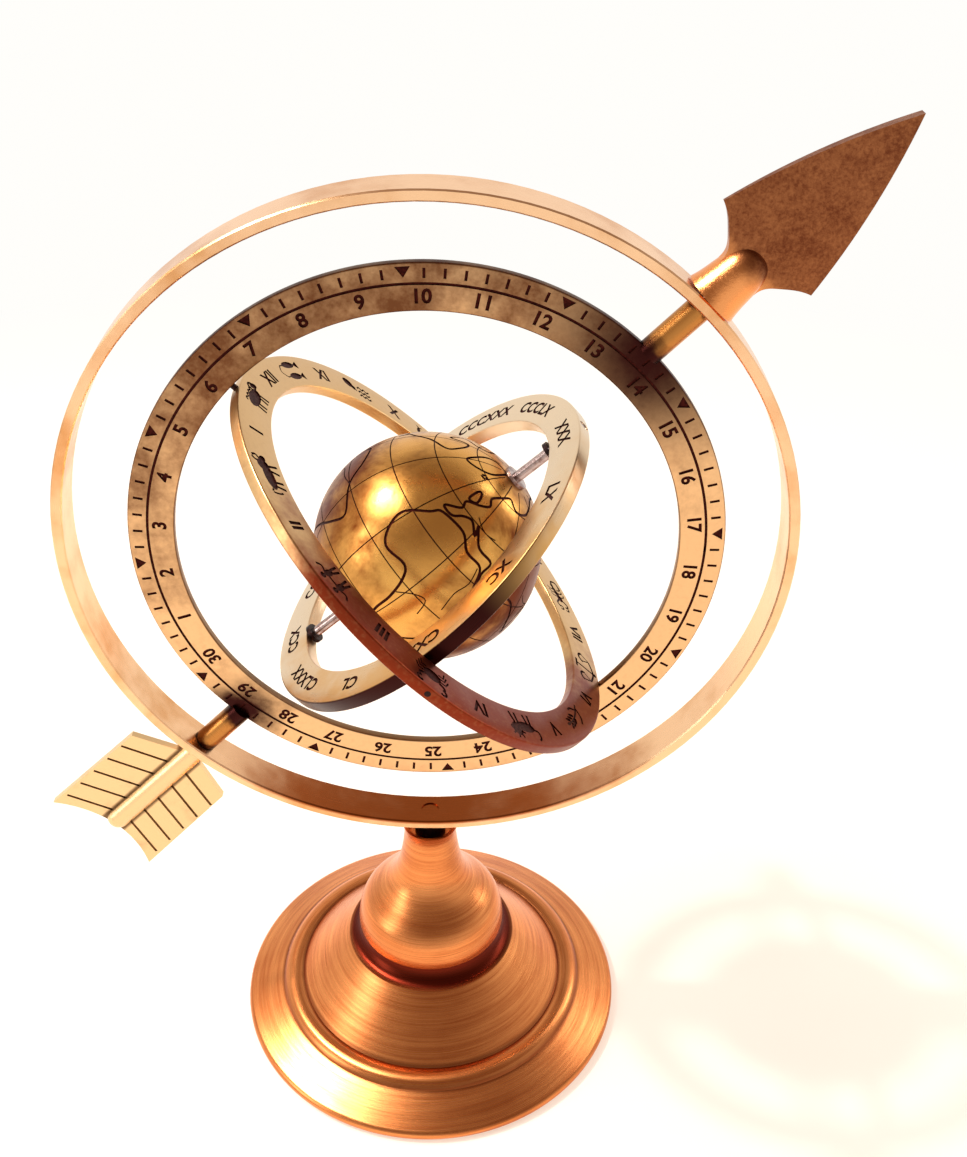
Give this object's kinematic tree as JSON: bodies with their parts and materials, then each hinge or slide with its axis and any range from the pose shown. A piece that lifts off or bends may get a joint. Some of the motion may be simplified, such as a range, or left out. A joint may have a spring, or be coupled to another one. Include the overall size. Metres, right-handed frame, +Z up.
{
  "type": "armillary sphere",
  "caption": "Desk armillary sphere: globe in nested turning rings and a numbered dial, pierced by an arrow, inside an outer ring on a round turned stand.",
  "frame": {"origin": "centre of the felt underside, on the surface it stands on", "axes": "+Z up through the foot, neck and the rings' centre; +X to the right of the dial's numbered face, towards the arrow head's side; -Y out of the dial's face towards its reader"},
  "size_m": [0.1724, 0.1008, 0.2213],
  "materials": {
    "felt": "dark green felt",
    "steel": "plain bright steel",
    "copper": "copper-plated brass, spun and circular-brushed, clear lacquered",
    "ring_bronze": "polished copper-gold brass",
    "dial_brass": "antiqued brass with dark filled engraving",
    "stub_brass": "brass darkened by brazing",
    "head_copper": "matt mottled copper-brown",
    "tail_brass": "pale cast brass with dark in the grooves",
    "equator_brass": "antiqued pale brass, engraved",
    "inner_brass": "pale silvery brass, engraved",
    "globe_brass": "golden-brown antiqued brass, engraved",
    "fittings": "darkened brass"
  },
  "bodies": {
    "stand": {"felt_pad": "felt", "base_plate": "steel", "base_foot": "copper", "neck": "copper", "neck_spacer": "fittings", "tie_rod": "steel", "tie_washer": "steel", "tie_nut": "steel", "outer_ring": "ring_bronze"},
    "dial": {"dial_ring": "dial_brass", "upper_stub": "stub_brass", "lower_stub": "stub_brass", "head_shank": "steel", "tail_shank": "steel", "arrow_head": "head_copper", "arrow_tail": "tail_brass", "equator_pin_upper": "fittings", "equator_pin_lower": "fittings"},
    "equator": {"equator_ring": "equator_brass", "inner_pin_front": "fittings", "inner_pin_back": "fittings"},
    "inner": {"inner_ring": "inner_brass"},
    "globe": {"globe_north_half": "globe_brass", "globe_south_half": "globe_brass", "globe_axle": "fittings", "north_bush": "fittings", "south_bush": "fittings", "north_collar": "fittings", "south_collar": "fittings"}
  },
  "joints": [
    {"name": "dial_tip", "type": "hinge", "parent": "stand", "child": "dial", "pos_m": [0, 0, 0.1334], "axis": [0.6947, 0, 0.7193], "continuous": true},
    {"name": "equator_turn", "type": "hinge", "parent": "dial", "child": "equator", "pos_m": [0, 0, 0.1334], "axis": [-0.7193, 0, 0.6947], "continuous": true},
    {"name": "inner_turn", "type": "hinge", "parent": "equator", "child": "inner", "pos_m": [0, 0, 0.1334], "axis": [-0.0255, 0.9993, -0.0264], "continuous": true},
    {"name": "globe_spin", "type": "hinge", "parent": "inner", "child": "globe", "pos_m": [0, 0, 0.1334], "axis": [0.7485, 0.0365, 0.6621], "continuous": true}
  ]
}
